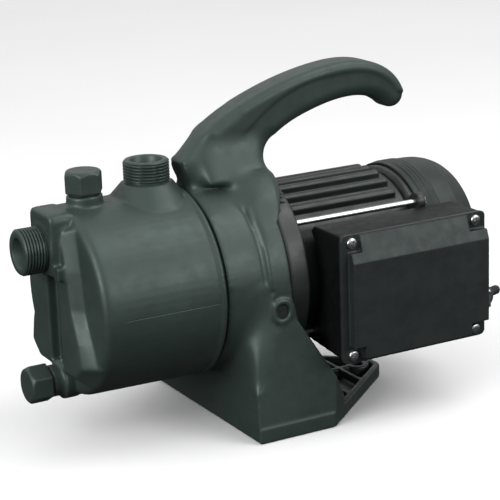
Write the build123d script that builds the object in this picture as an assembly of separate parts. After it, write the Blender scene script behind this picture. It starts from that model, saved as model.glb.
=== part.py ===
from build123d import *
import math
import os

# Shallow well jet pump: a moulded casing on a bracket with a carrying handle and a hollow foot, and a
# finned motor with a switch box on its side. Millimetres, +Z up, +X along the shaft towards the motor,
# -Y towards the switch box. Every piece is drawn in the shaft frame, with its zero on the shaft axis
# in the joint between casing and bracket, and is moved when it is written, so that the origin lies on
# the floor midway between the two foot bolts. Stations are along X, radii are from the shaft axis.

# Driving dimensions
shaft_height = 107.0
joint_to_origin = 92.0
casing_length = 93.0
casing_radius = 70.0
casing_front_radius = 68.5
casing_wall = 5.0
port_radius = 16.7
port_hole_radius = 10.6
port_length = 18.0
suction_height = 41.0
suction_face = -125.7
suction_collar_face = -108.5
discharge_station = -24.0
discharge_top = 93.6
plug_hex = 25.0
plug_shank_radius = 9.5
plug_fit = 0.05
priming_station = -73.0
priming_boss_top = 75.5
drain_height = -57.0
drain_boss_face = -109.0
oring_gap = 0.3
oring_height = 1.2
plug_head_height = 15.8
neck_radius = 69.5
ring_radius = 75.0
neck_start = 2.5
ring_start = 31.0
ring_end = 50.0
foot_front = 16.5
foot_side_end = 80.0
foot_tail = 165.0
foot_half_width = 82.0
foot_tail_half_width = 10.0
foot_floor = 4.0
foot_wall = 4.5
tray_height = 11.0
foot_bolt_spacing = 90.0
foot_bolt_radius = 4.5
tail_bolt_station = 150.0
handle_crown_half_width = 14.0
handle_crown_round = 6.0
handle_grip_half_width = 13.3
handle_grip_round = 9.0
frame_start = 66.0
frame_end = 172.0
frame_bore = 50.0
frame_radius = 55.5
fin_radius = 62.0
core_start = 92.0
core_end = 150.0
core_bore = 29.0
slot_count = 24
rod_offset_y = 50.0
rod_offset_z = 42.0
rod_radius = 2.25
cover_start = 178.0
cover_shoulder = 205.0
cover_end = 230.0
cover_radius = 61.0
cover_rear_radius = 46.0
shaft_radius = 7.5
impeller_shaft_radius = 6.0
core_seat_radius = 9.0
fan_seat_radius = 6.0
shaft_end = 212.0
air_gap = 0.5
bearing_radius = 17.5
bearing_width = 11.0
front_bearing = 55.0
rear_bearing = 168.0
ball_pitch_radius = 12.5
ball_radius = 2.7
ball_count = 8
box_front = 80.0
box_rear = 201.5
box_top = 39.5
box_bottom = -52.5
box_rim = -91.5
box_wall = 3.0
saddle_radius = 63.3
lid_front = 78.5
lid_rear = 202.7
lid_top = 40.5
lid_bottom = -55.0
lid_chamfer_height = 20.7
lid_flange = 3.0
lid_rise = 7.0
gasket = 1.5
lid_screw_x = 107.0
lid_screw_z = 84.0
switch_y = -80.0
switch_z = -31.0
switch_pivot = 211.0
boot_radius = 9.2
cord_y = -76.0
cord_z = 8.0
toggle_tilt = 10.0


# Shapes
def turned(*corners):
    """Solid of revolution about the shaft axis, from (station, radius) corners."""
    outline = Polyline([(station, 0, radius) for station, radius in corners], close=True)
    return revolve(make_face(outline), Axis.X, 360)


def along_x(radius, start, end, y=0.0, z=0.0):
    return Pos((start + end) / 2, y, z) * Rot(0, 90, 0) * Cylinder(radius, end - start)


def along_y(radius, start, end, x=0.0, z=0.0):
    return Pos(x, (start + end) / 2, z) * Rot(90, 0, 0) * Cylinder(radius, end - start)


def along_z(radius, start, end, x=0.0, y=0.0):
    return Pos(x, y, (start + end) / 2) * Cylinder(radius, end - start)


def block(x_range, y_range, z_range):
    low = Vector(x_range[0], y_range[0], z_range[0])
    high = Vector(x_range[1], y_range[1], z_range[1])
    size = high - low
    return Pos((low + high) * 0.5) * Box(size.X, size.Y, size.Z)


def cross_prism(points, start, end):
    """Prism with a (y, z) outline between two stations."""
    face = make_face(Polyline([(start, y, z) for y, z in points], close=True))
    return extrude(face, end - start, dir=(1, 0, 0))


def side_prism(points, half_width):
    """Prism with an (x, z) outline, as wide on both sides of the shaft plane."""
    face = make_face(Polyline([(x, -half_width, z) for x, z in points], close=True))
    return extrude(face, 2 * half_width, dir=(0, 1, 0))


def plan_prism(points, bottom, top):
    """Prism with an (x, y) outline between two heights."""
    face = make_face(Polyline([(x, y, bottom) for x, y in points], close=True))
    return extrude(face, top - bottom, dir=(0, 0, 1))


def turned_copies(piece, angles):
    """The piece, once at each angle about the shaft axis."""
    return [Rot(angle, 0, 0) * piece for angle in angles]


def mirrored_pair(points):
    """Outline of (y, z) points on the +Y side, closed with their mirror images."""
    return points + [(-y, z) for y, z in reversed(points)]


# Wet end
pad_angles = [30 + 60 * k for k in range(6)]
pad_circle = 57.0
pad_radius = 8.0
casing_screw_radius = 2.5


def casing_front():
    """The two cheeks, the channel with its rib between them, and the block under the suction port."""
    base = mirrored_pair([(30, 60), (35, 30), (39, 0), (50, -22), (58, -36), (40, -55)])
    face = mirrored_pair([(18, 56), (26, 28), (30, 2), (39, -20), (43, -38), (31, -47)])
    back = -casing_length + 2
    front = -casing_length - 9
    base_wire = make_face(Polyline([(back, y, z) for y, z in base], close=True))
    face_wire = make_face(Polyline([(front, y, z) for y, z in face], close=True))
    cheeks = loft([base_wire, face_wire])
    channel = block((front - 1, -casing_length - 1), (-10, 10), (-48, 22))
    rib = block((front + 2, -casing_length), (-3.5, -1), (-48, 22))
    port_block = block((-108, -casing_length + 3), (-19, 19), (23, 68.5))
    port_block = fillet(port_block.edges().filter_by(Axis.X), 6)
    port_block = fillet(port_block.faces().sort_by(Axis.X)[0].edges(), 3)
    lug = block((-107, -casing_length), (-25, -17), (22, 32))
    drain_boss = along_x(14.5, drain_boss_face + 8, -casing_length + 4, z=drain_height)
    drain_neck = along_x(11.5, drain_boss_face, -casing_length + 4, z=drain_height)
    return cheeks - channel + rib + port_block + lug + drain_boss + drain_neck


def suction_chamber():
    """Block inside the casing's front wall, in which the nozzle and the venturi sit."""
    upper = block((-90, -58), (-15, 15), (0, 66))
    return upper + along_x(17, -90, -52)


def pump_casing():
    barrel = turned(
        (-casing_length, 0),
        (-casing_length, casing_front_radius),
        (-4.5, casing_radius),
        (-4.5, casing_radius - 1),
        (-3.2, casing_radius - 1),
        (-3.2, casing_radius + 1.3),
        (0, casing_radius + 1.3),
        (0, 0),
    )
    barrel = fillet(barrel.edges().filter_by(GeomType.CIRCLE).sort_by(Axis.X)[0], 6)
    cone_foot = Pos(discharge_station, 0, 70) * Cone(32, 18.5, 15)
    cone_foot = cone_foot & block((-80, -4.5), (-40, 40), (60, 80))
    discharge_neck = along_z(18.5, 60, discharge_top - port_length - 1, x=discharge_station)
    priming_boss = along_z(13.0, 60, priming_boss_top, x=priming_station)
    discharge_port = along_z(port_radius, 60, discharge_top, x=discharge_station)
    suction_port = along_x(port_radius, suction_face, -100, z=suction_height)
    suction_collar = along_x(port_radius + 2, suction_collar_face, -100, z=suction_height)
    body = barrel + casing_front() + cone_foot + discharge_neck + priming_boss + suction_collar
    body = body + discharge_port + suction_port
    inner = casing_radius - casing_wall - 1
    cavity = turned((-casing_length + casing_wall, 0), (-casing_length + casing_wall, inner - 4),
                    (-casing_length + casing_wall + 4, inner), (0, inner), (0, 0))
    pads = turned_copies(along_x(pad_radius, -24, 0, z=pad_circle), pad_angles)
    cavity = cavity - suction_chamber() - pads
    body = body - cavity
    body = body - along_x(port_hole_radius, suction_face, -66, z=suction_height)
    body = body - along_z(10, 0, suction_height, x=-69)
    body = body - along_x(12, -79, -52)
    body = body - along_x(6.05, -86, -78) - along_z(4.5, -30, 0, x=-84)
    body = body - along_z(11.9, 40, discharge_top, x=discharge_station)
    body = body - along_z(plug_shank_radius + plug_fit, 40, priming_boss_top, x=priming_station)
    body = body - along_x(plug_shank_radius + plug_fit, drain_boss_face, -80, z=drain_height)
    body = body - turned_copies(along_x(casing_screw_radius - 0.4, -16, 0, z=pad_circle), pad_angles)
    return body


def seal_plate():
    plate = turned((0, 14), (0, 66.5), (neck_start, 66.5), (neck_start, 47), (9, 47), (9, 14))
    rib_ring = turned((9, 20), (9, 24), (14, 24), (14, 20))
    groove = turned((-1, 61), (-1, 63.4), (1.2, 63.4), (1.2, 61))
    holes = turned_copies(along_x(casing_screw_radius, -1, 4, z=pad_circle), pad_angles)
    pocket_wall = turned((-4, 14), (-4, 16.5), (0, 16.5), (0, 14))
    return plate + rib_ring + pocket_wall - groove - holes


def casing_oring():
    return turned((0, 61.0), (0, 63.4), (1.2, 63.4), (1.2, 61.0))


def jet_nozzle():
    return turned((-86, 3.8), (-86, 6), (-79, 6), (-79, 9), (-76, 9), (-76, 6), (-66, 4.2), (-66, 2.6),
                  (-79, 3.8))


def nozzle_oring():
    return turned((-76, 9), (-76, 12), (-74.5, 12), (-74.5, 6), (-75.8, 6.1), (-75.8, 9))


def venturi_tube():
    return turned((-60, 7.5), (-60, 12), (-50, 12), (-50, 8), (-34, 10.5), (-34, 7.6), (-52, 4.6),
                  (-56, 4.6))


impeller_radius = 38.0
vane_count = 6


def blade(start_radius, end_radius, lean, thickness, front, rear):
    """A flat blade that leans back by an angle from the radial line."""
    height = end_radius - start_radius
    plate = block((front, rear), (-thickness / 2, thickness / 2), (0, height))
    return Pos(0, 0, start_radius) * Rot(lean, 0, 0) * plate


def impeller():
    rear_shroud = turned((-12, impeller_shaft_radius), (-12, impeller_radius), (-10, impeller_radius),
                         (-10, 11), (-8, 11), (-8, impeller_shaft_radius))
    hub = turned((-22, impeller_shaft_radius), (-22, 9), (-12, 10), (-12, impeller_shaft_radius))
    front_shroud = turned((-24, 13.5), (-24, 15.5), (-21, 15.5), (-18.5, impeller_radius),
                          (-16.8, impeller_radius), (-19.2, 13.5))
    blades = turned_copies(blade(9, 30, 28, 2.0, -18.6, -11.5), [60 * k for k in range(vane_count)])
    return rear_shroud + hub + front_shroud + blades


def diffuser():
    """Cup round the impeller, with the venturi's seat in front and guide vanes in its rim."""
    cup = turned((-34, 7.6), (-34, 14.5), (-30, 17.5), (-27.5, 47), (-3, 47), (-3, 44.5),
                 (-25.2, 44.5), (-25.2, 16.2), (-30, 12), (-32, 7.6))
    guides = turned_copies(blade(40.5, 46, 55, 1.8, -25.5, -9), [40 * k for k in range(9)])
    return cup + guides


def seal_seat():
    return turned((-4, 8.5), (-4, 14), (4, 14), (4, 8.5))


def seal_rotating():
    return turned((-4.3, impeller_shaft_radius), (-4.3, 11.5), (-5.6, 11.5), (-5.6, impeller_shaft_radius))


def seal_spring():
    wire = turned((-6.3, 8.6), (-6.3, 9.6), (-5.6, 9.6), (-5.6, 8.6))
    turns = [Pos(-step, 0, 0) * wire for step in (0, 0.85, 1.7)]
    return turns


def impeller_nut():
    hexagon = Rot(0, 90, 0) * extrude(RegularPolygon(8, 6), 6)
    nut = Pos(-28, 0, 0) * hexagon - along_x(impeller_shaft_radius - 1, -30, -21)
    return nut


def casing_screws():
    screw = along_x(casing_screw_radius - 0.4, -14, neck_start + 6.5, z=pad_circle)
    head = along_x(4.2, neck_start + 6.5, neck_start + 10, z=pad_circle)
    socket = Pos(neck_start + 8.5, 0, pad_circle) * Rot(0, 90, 0) * extrude(RegularPolygon(2, 6), 3)
    return turned_copies(screw + head - socket, pad_angles)


# Bracket with handle and foot
bolt_angles = [45 + 90 * k for k in range(4)]
bolt_circle = 36.0
ring_screw_station = 41.0
ring_screw_height = -13.0
column_rear = foot_side_end + 21


def foot_outline(inset):
    """Plan of the foot: straight front, straight sides, then two diagonals to a blunt tail."""
    half = [
        (foot_front + inset, foot_half_width - inset),
        (foot_side_end - inset * 0.4, foot_half_width - inset),
        (foot_tail - inset, foot_tail_half_width - inset * 0.6),
    ]
    return half + [(x, -y) for x, y in reversed(half)]


def pedestal(inset):
    """Foot column under the ring, as a solid; the cavity is the same shape, drawn smaller."""
    front = foot_front + inset
    width = foot_half_width - inset
    waist = ring_radius - inset
    cross = mirrored_pair([(waist, 0), (waist + 2, -30), (width, -shaft_height)])
    column = cross_prism(cross, front, column_rear + 10)
    side = [(front, 0), (ring_end - inset, 0), (ring_end + 4, -22), (column_rear, -shaft_height + 9),
            (column_rear, -shaft_height), (front, -shaft_height)]
    column = column & side_prism(side, foot_half_width + 5)
    return column & plan_prism(foot_outline(inset), -shaft_height, 0)


def foot():
    solid = pedestal(0)
    hollow = pedestal(foot_wall) - along_x(ring_radius, 0, 120)
    gate = foot_half_width - 14
    shell = solid - hollow - block((foot_side_end - 24, 120), (-gate, gate), (-shaft_height, -20))
    sole = -shaft_height
    rim = sole + tray_height
    tray = plan_prism(foot_outline(0), sole, rim)
    tray = fillet(tray.edges().filter_by(Axis.Z).group_by(Axis.X)[-1], 7)
    tray_hollow = plan_prism(foot_outline(foot_wall), sole + foot_floor, rim)
    rib = block((foot_front + 2, tail_bolt_station - 8), (-2, 2), (sole, rim))
    cross_ribs = [block((foot_side_end + step, foot_side_end + step + 3), (-reach, reach), (sole, rim))
                  for step, reach in ((-10, 78), (28, 56), (52, 35))]
    tail_boss = along_z(9, sole, rim, x=tail_bolt_station)
    return shell + (tray - tray_hollow) + rib + cross_ribs + tail_boss


def side_points(points):
    return [(x, 0, z) for x, z in points]


def long_edges(bar, half_width, lowest):
    """Edges of a bar's two flat sides that lie above a height."""
    return [edge for edge in bar.edges()
            if abs(abs(edge.center().Y) - half_width) < 0.01 and edge.center().Z > lowest]


def handle():
    """Open hook over the motor: a rounded grip under a wider crown, with a crease between them."""
    top = side_points([(0, 88), (20, 108), (62, 130), (119, 145), (147, 146.2), (175, 137), (190.5, 117)])
    end = side_points([(190.5, 117), (184, 106.5), (173, 109.5)])
    under = side_points([(173, 109.5), (160, 116.5), (135, 118), (108, 112), (84, 102), (68.5, 86),
                         (69, 77)])
    foot_line = Polyline(side_points([(69, 77), (60, 70), (8, 66), (3, 76), (0, 88)]))
    crease = side_points([(182, 119), (172.5, 129.5), (155, 137.3), (133, 138.6), (97, 133.2),
                          (75.6, 123.8), (54, 108), (28, 84)])
    grip_face = make_face([Spline(*top), ThreePointArc(*end), Spline(*under), foot_line])
    grip = extrude(grip_face, handle_grip_half_width, dir=(0, 1, 0), both=True)
    grip = fillet(long_edges(grip, handle_grip_half_width, 92), handle_grip_round)
    ends = [Line(top[-1], crease[0]), Line(crease[-1], top[0])]
    crown_face = make_face([Spline(*top), Spline(*crease), *ends])
    crown = extrude(crown_face, handle_crown_half_width, dir=(0, 1, 0), both=True)
    crown = fillet(long_edges(crown, handle_crown_half_width, 138), handle_crown_round)
    return grip + crown


def handle_flare():
    """The roots of the handle, spreading over the top of the ring."""
    corners = side_points([(30, 68), (34, 79), (46, 84), (60, 84), (67, 79), (67, 68)])
    outline = Polyline(corners, close=True)
    spread = 100
    collar = Rot(-spread / 2, 0, 0) * revolve(make_face(outline), Axis.X, spread)
    web_low = Pos(36, 0, 70.5) * Rectangle(50, 56)
    web_high = Pos(38, 0, 100) * Rectangle(52, 2 * handle_grip_half_width - 1)
    return collar + loft([web_low, web_high])


def motor_bracket():
    ring = turned((neck_start, 48), (neck_start, neck_radius), (ring_start, neck_radius),
                  (ring_start + 3, ring_radius), (ring_end - 1, ring_radius), (ring_end, ring_radius - 1),
                  (ring_end, 24), (ring_end - 6, 24), (ring_end - 6, 63), (neck_start + 6.5, 63),
                  (neck_start + 6.5, 48))
    boss = along_y(9, -77, -62, x=ring_screw_station, z=ring_screw_height)
    body = ring + (foot() - along_x(neck_radius - 2, -5, 120)) + handle() + handle_flare() + boss
    body = body - along_x(66.9, 0, neck_start) - along_x(48, 0, neck_start + 7)
    inside = (neck_start + 6.5, ring_end - 6)
    body = body - along_x(63, *inside)
    body = body - along_x(24, 40, 60) - turned((ring_end, 0), (ring_end, 74.9), (70, 74.9), (70, 0))
    body = body - turned_copies(along_x(casing_screw_radius, 0, 12, z=pad_circle), pad_angles)
    body = body - turned_copies(along_x(3.2, 40, 60, z=bolt_circle), bolt_angles)
    body = body - along_y(5.6, -80, -73.5, x=ring_screw_station, z=ring_screw_height)
    body = body - along_y(2.6, -80, -60, x=ring_screw_station, z=ring_screw_height)
    bolts = [along_z(foot_bolt_radius, -120, -90, x=joint_to_origin, y=side * foot_bolt_spacing / 2)
             for side in (-1, 1)]
    return body - bolts - along_z(foot_bolt_radius, -120, -90, x=tail_bolt_station)


def bracket_bolts():
    shank = along_x(3.2, ring_end - 6, ring_end + 8, z=bolt_circle)
    head = Pos(ring_end - 10, 0, bolt_circle) * Rot(0, 90, 0) * extrude(RegularPolygon(5.5, 6), 4)
    return turned_copies(shank + head, bolt_angles)


def ring_screws():
    shank = along_y(2.6, -75, -63.5, x=ring_screw_station, z=ring_screw_height)
    head = along_y(4.6, -75.5, -73.5, x=ring_screw_station, z=ring_screw_height)
    slot = block((ring_screw_station - 5, ring_screw_station + 5), (-76, -74.7),
                 (ring_screw_height - 0.6, ring_screw_height + 0.6))
    return shank + head - slot


# Motor
rod_angle = math.degrees(math.atan2(rod_offset_z, rod_offset_y))
rod_circle = math.hypot(rod_offset_y, rod_offset_z)
rod_angles = [90 - rod_angle, 90 + rod_angle, 270 - rod_angle, 270 + rod_angle]
fin_pitch = 12.0
fin_width = 6.0
box_half_angle = 42.0
cover_screw_angles = (-60, -150, 150)


def motor_front_endbell():
    bell = turned((ring_end, 20), (ring_end, 73), (ring_end + 1.5, 74), (frame_start - 1, 74),
                  (frame_start, 73), (frame_start, 52), (58, 48), (58, 22), (frame_start, 22),
                  (frame_start, bearing_radius), (front_bearing, bearing_radius), (front_bearing, 12),
                  (52.5, 12), (52.5, 20))
    bell = bell - turned_copies(along_x(3.2, ring_end, ring_end + 8, z=bolt_circle), bolt_angles)
    return bell - turned_copies(along_x(rod_radius, ring_end + 2, 70, z=rod_circle), rod_angles)


def stator_frame():
    tube = turned((frame_start, frame_bore), (frame_start, 52), (frame_start, frame_radius),
                  (frame_end, frame_radius), (frame_end, frame_bore))
    count = int(360 / fin_pitch)
    fins = []
    for step in range(count):
        angle = step * fin_pitch
        if abs(angle - 90) > box_half_angle:
            fins.append(angle)
    fin = block((frame_start + 6, frame_end - 8), (-fin_width / 2, fin_width / 2),
                (frame_radius - 1, fin_radius))
    fin = fillet(fin.faces().sort_by(Axis.Z)[-1].edges(), 2.4)
    pad = block((96, 168), (-saddle_radius, -frame_radius + 4), (-16, 16))
    pad = pad & along_x(saddle_radius, 90, 175)
    frame = tube + turned_copies(fin, fins) + (pad - along_x(frame_radius - 1, 80, 180))
    return frame - [along_y(2.2, -80, -56.5, x=x, z=z) for x, z in box_screw_places]


def winding_bars():
    bar = block((core_start, core_end), (-1.7, 1.7), (core_bore + 3, 43))
    return turned_copies(bar, [k * 360 / slot_count for k in range(slot_count)])


def stator_core():
    core = turned((core_start, core_bore), (core_start, frame_bore), (core_end, frame_bore),
                  (core_end, core_bore))
    mouth = block((core_start, core_end), (-0.8, 0.8), (core_bore - 1, core_bore + 4))
    mouths = turned_copies(mouth, [k * 360 / slot_count for k in range(slot_count)])
    return core - winding_bars() - mouths


def stator_windings():
    crowns = [turned((a, 33), (a, 43), (a + 4, 46), (a + 10, 46), (a + 14, 43), (a + 14, 33))
              for a in (core_start - 14, core_end)]
    return crowns[0] + crowns[1] + winding_bars()


def motor_rear_endbell():
    bell = turned((frame_end, 22), (frame_end, frame_radius), (frame_end + 2, 58.9), (frame_end + 12, 58.9),
                  (frame_end + 12, 56), (frame_end + 6, 54), (frame_end + 6, 22), (frame_end + 10.5, 22),
                  (frame_end + 10.5, 12), (rear_bearing + bearing_width + 1, 12),
                  (rear_bearing + bearing_width + 1, bearing_radius), (rear_bearing - 1, bearing_radius),
                  (rear_bearing - 1, 22))
    lug_end = frame_end + 5.5
    lug = block((frame_end, lug_end), (-7, 7), (54, rod_circle))
    lug = lug + along_x(7, frame_end, lug_end, z=rod_circle)
    bell = bell + turned_copies(lug, rod_angles)
    bell = bell - turned_copies(along_z(1.55, 50, 60, x=cover_start + 1.8), cover_screw_angles)
    return bell - turned_copies(along_x(rod_radius + 0.15, 160, 190, z=rod_circle), rod_angles)


def through_rods():
    rod = along_x(rod_radius, ring_end + 3, frame_end + 8, z=rod_circle)
    nut = Pos(frame_end + 5.5, 0, rod_circle) * Rot(0, 90, 0) * extrude(RegularPolygon(4.0, 6), 2.2)
    return turned_copies(rod + nut, rod_angles)


def race(start, inner, outer, groove):
    end = start + bearing_width
    body = turned((start, inner), (start, outer), (end, outer), (end, inner))
    middle = start + bearing_width / 2
    track = Pos(middle, 0, 0) * Rot(0, 90, 0) * Torus(ball_pitch_radius, groove)
    return body - track


def balls(start):
    ball = Pos(start + bearing_width / 2, 0, ball_pitch_radius) * Sphere(ball_radius)
    return turned_copies(ball, [k * 360 / ball_count for k in range(ball_count)])


def cage(start):
    middle = start + bearing_width / 2
    hoop = turned((middle - 2, 11.6), (middle - 2, 13.2), (middle + 2, 13.2), (middle + 2, 11.6))
    return hoop - balls(start)


def wave_washer():
    face = rear_bearing + bearing_width
    return turned((face, 13.5), (face, 17), (face + 1, 17), (face + 1, 13.5))


def motor_shaft():
    thread = impeller_shaft_radius - 1
    seat = shaft_radius - 0.5
    rear_seat_end = rear_bearing + bearing_width
    return turned((-30, 0), (-30, thread), (-21.5, thread), (-21.5, impeller_shaft_radius),
                  (50, impeller_shaft_radius), (50, seat), (front_bearing, seat),
                  (front_bearing, shaft_radius), (frame_start, shaft_radius),
                  (frame_start, core_seat_radius), (rear_bearing, core_seat_radius),
                  (rear_bearing, shaft_radius),
                  (rear_seat_end, shaft_radius), (rear_seat_end, fan_seat_radius),
                  (shaft_end, fan_seat_radius), (shaft_end, 0))


def rotor_core():
    face = core_bore - air_gap
    stack = turned((core_start, core_seat_radius), (core_start, face), (core_end, face),
                   (core_end, core_seat_radius))
    rings = [turned((a, 16), (a, 26), (a + 8, 26), (a + 8, 16)) for a in (core_start - 8, core_end)]
    fan_pip = block((core_end + 8, core_end + 13), (-1, 1), (18, 26))
    pips = turned_copies(fan_pip, [k * 60 for k in range(6)])
    return stack + rings[0] + rings[1] + pips


def slinger():
    return turned((30, impeller_shaft_radius), (30, 14), (31.5, 15), (33, 9), (36, 9),
                  (36, impeller_shaft_radius))


def cooling_fan():
    hub = turned((190, fan_seat_radius), (190, 13), (208, 13), (208, fan_seat_radius))
    disc = turned((190, 13), (190, 50), (192, 50), (192, 13))
    blades = turned_copies(blade(11, 53, 0, 2.2, 191, 207), [k * 45 for k in range(8)])
    return hub + disc + blades


def fan_clip():
    return turned((208, fan_seat_radius), (208, 9), (209.2, 9), (209.2, fan_seat_radius))


def fan_cover():
    ridges = []
    for k in range(4):
        start = cover_start + 5.5 + 3.2 * k
        crest = cover_radius + 0.9
        ridges += [(start, cover_radius), (start + 0.3, crest)]
        ridges += [(start + 1.3, crest), (start + 1.6, cover_radius)]
    shoulder = []
    for k in range(1, 7):
        turn = math.radians(15 * k)
        shoulder.append((cover_shoulder + (cover_end - cover_shoulder) * math.sin(turn),
                         cover_rear_radius + (cover_radius - cover_rear_radius) * math.cos(turn)))
    outer = [(cover_start, cover_radius)] + ridges + [(cover_shoulder, cover_radius)] + shoulder
    wall = 2.0
    inner = [(x - wall * 0.6, r - wall) for x, r in reversed(shoulder)]
    inner[0] = (cover_end - wall, inner[0][1])
    cup = turned(*outer, (cover_end, 0), (cover_end - wall, 0), *inner,
                 (cover_shoulder - 1, cover_radius - wall), (cover_start, cover_radius - wall))
    slot = block((cover_end - 9, cover_end + 2), (-1.6, 1.6), (16, 45))
    slots = turned_copies(slot, [k * 15 for k in range(24)])
    return cup - slots - turned_copies(along_z(1.6, 50, 70, x=cover_start + 1.8), cover_screw_angles)


def fan_cover_screws():
    shank = along_z(1.55, 56.5, cover_radius + 0.2, x=cover_start + 1.8)
    head = along_z(2.9, cover_radius, cover_radius + 1.6, x=cover_start + 1.8)
    return turned_copies(shank + head, cover_screw_angles)


# Switch box on the motor's side
lid_middle_x = (lid_front + lid_rear) / 2
lid_middle_z = (lid_top + lid_bottom) / 2
lid_screw_places = [(lid_middle_x - 0.4 + sx * lid_screw_x / 2, lid_middle_z + sz * lid_screw_z / 2)
                    for sx in (-1, 1) for sz in (-1, 1)]
flange_face = box_rim - gasket - lid_flange
terminal_stations = (107, 119, 131, 143)
box_screw_places = [(x, z) for x in (104.0, 160.0) for z in (-9.0, 9.0)]


def box_section(inset):
    """Outline of the box across the shaft, drawn smaller by the inset."""
    half = inset * 0.5
    return [(box_rim - 1, box_bottom + inset), (box_rim - 1, box_top - inset),
            (-57 - half, box_top - inset), (-50 - half, 33 - half), (-40, 0), (-26, -46 + inset),
            (-60, box_bottom + 3 + inset)]


def terminal_box():
    outer = cross_prism(box_section(0), box_front, box_rear)
    cavity = cross_prism(box_section(box_wall), box_front + box_wall, box_rear - box_wall)
    cavity = cavity - along_x(saddle_radius + 5, 70, 210)
    trim = block((70, 210), (-120, box_rim), (-80, 80))
    posts = [along_y(5.2, box_rim, box_rim + 14, x=x, z=z) for x, z in lid_screw_places]
    body = outer - along_x(saddle_radius, 70, 210) - cavity + [post & outer for post in posts] - trim
    collar = along_x(13, box_rear - 1, box_rear + 2.5, y=switch_y + 0.5, z=switch_z)
    body = body + (collar & block((190, 220), (box_rim, -60), (-60, 0)))
    holes = [along_y(1.9, box_rim - 1, box_rim + 11, x=x, z=z) for x, z in lid_screw_places]
    holes += [along_y(2.2, -80, -55, x=x, z=z) for x, z in box_screw_places]
    body = body - holes - along_x(6.2, box_rear - 6, box_rear + 4, y=switch_y, z=switch_z)
    body = body - along_x(6.0, box_rear - 5, box_rear + 2, y=cord_y, z=cord_z)
    rods = turned_copies(along_x(rod_radius + 0.5, 60, 220, z=rod_circle), rod_angles)
    lugs = turned_copies(along_x(7.6, 170, 182, z=rod_circle), rod_angles)
    endbell_rim = turned((60, 50), (60, 74.6), (82, 74.6), (82, 50))
    ridges = along_x(cover_radius + 2.9, cover_start, 210)
    return body - rods - lugs - ridges - (endbell_rim & block((60, 67), (-90, 90), (-90, 90)))


def lid_outline():
    return block((box_front, box_rear), (box_rim - gasket, box_rim), (box_bottom, box_top))


def box_gasket():
    inner = block((box_front + 2.2, box_rear - 2.2), (-100, -80), (box_bottom + 2.2, box_top - 2.2))
    eyes = [along_y(4.6, box_rim - gasket, box_rim, x=x, z=z) for x, z in lid_screw_places]
    band = lid_outline() - inner + [eye & lid_outline() for eye in eyes]
    return band - [along_y(2.2, -100, -80, x=x, z=z) for x, z in lid_screw_places]


def terminal_box_lid():
    base = flange_face + lid_flange
    flange = block((lid_front, lid_rear), (flange_face, base), (lid_bottom, lid_top))
    flange = fillet(flange.edges().filter_by(Axis.Y), 4)
    front = flange_face - lid_rise
    side = [(flange_face + 1, lid_bottom + 2), (front, lid_bottom + 4), (front, lid_chamfer_height),
            (flange_face, lid_top - 0.8), (flange_face + 1, lid_top - 0.8)]
    panel = cross_prism(side, lid_front + 6, lid_rear - 1)
    notches = []
    for x, z in lid_screw_places:
        across = 7.2
        x_out = -20 if x < lid_middle_x else 20
        z_out = 20 if z > lid_middle_z else -20
        x_range = sorted((x + x_out, x - math.copysign(across, x_out)))
        z_range = sorted((z + z_out, z - math.copysign(across, z_out)))
        notches.append(block(x_range, (-120, flange_face), z_range))
    lid = flange + (panel - notches)
    holes = [along_y(2.1, -120, base, x=x, z=z) for x, z in lid_screw_places]
    return lid - holes


def lid_screws():
    screws = []
    for x, z in lid_screw_places:
        shank = along_y(1.9, flange_face, box_rim + 10, x=x, z=z)
        head = along_y(3.8, flange_face - 2.4, flange_face, x=x, z=z)
        head = fillet(head.edges().sort_by(Axis.Y)[0], 1.4)
        cross = block((x - 2.2, x + 2.2), (-120, flange_face - 1.4), (z - 0.45, z + 0.45))
        cross += block((x - 0.45, x + 0.45), (-120, flange_face - 1.4), (z - 2.2, z + 2.2))
        screws.append(shank + head - cross)
    return screws


def box_screws():
    floor = -saddle_radius - 5
    screws = []
    for x, z in box_screw_places:
        screws.append(along_y(2.2, floor, -57, x=x, z=z) + along_y(3.6, floor - 2.4, floor, x=x, z=z))
    return screws


def run_capacitor():
    can = along_x(11.5, 94, 156, y=-78.5, z=24)
    tabs = block((156, 161), (-82, -80.5), (20, 26)) + block((156, 161), (-76.5, -75), (20, 26))
    return can + tabs


def capacitor_strap():
    band = along_x(12.3, 112, 122, y=-78.5, z=24) - along_x(11.5, 112, 122, y=-78.5, z=24)
    return band & block((112, 122), (-95, -60), (0, 60))


def terminal_block():
    base = block((100, 150), (-79, -72.5), (-34, -20))
    bars = [block((x, x + 2), (-84, -79), (-34, -20)) for x in (100, 112, 124, 136, 148)]
    wells = [along_y(1.6, -79, -74, x=x, z=-27) for x in terminal_stations]
    return base + bars - wells


def terminal_screws():
    screw = along_y(1.6, -79, -74, z=-27) + along_y(3, -81, -79, z=-27)
    return [Pos(x, 0, 0) * screw for x in terminal_stations]


def switch_body():
    housing = block((176, box_rear - box_wall), (switch_y - 8, switch_y + 8),
                    (switch_z - 11, switch_z + 11))
    bushing = along_x(6.1, box_rear - box_wall - 1, box_rear + 6.5, y=switch_y, z=switch_z)
    bushing = bushing - along_x(4.4, box_rear - 2, box_rear + 10, y=switch_y, z=switch_z)
    terminals = [block((168, 176), (switch_y - 3, switch_y + 3), (switch_z + dz - 0.5, switch_z + dz + 0.5))
                 for dz in (-7, 0, 7)]
    return housing + bushing + terminals


def switch_nut():
    start = box_rear + 2.5
    nut = Pos(start, switch_y, switch_z) * Rot(0, 90, 0) * extrude(RegularPolygon(12, 6), 8.5)
    nut = nut - along_x(boot_radius + 0.35, start + 3.5, start + 9, y=switch_y, z=switch_z)
    return nut - along_x(6.1, start - 1, start + 4, y=switch_y, z=switch_z)


def toggle_place():
    return Pos(switch_pivot, switch_y, switch_z) * Rot(0, -toggle_tilt, 0)


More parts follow.
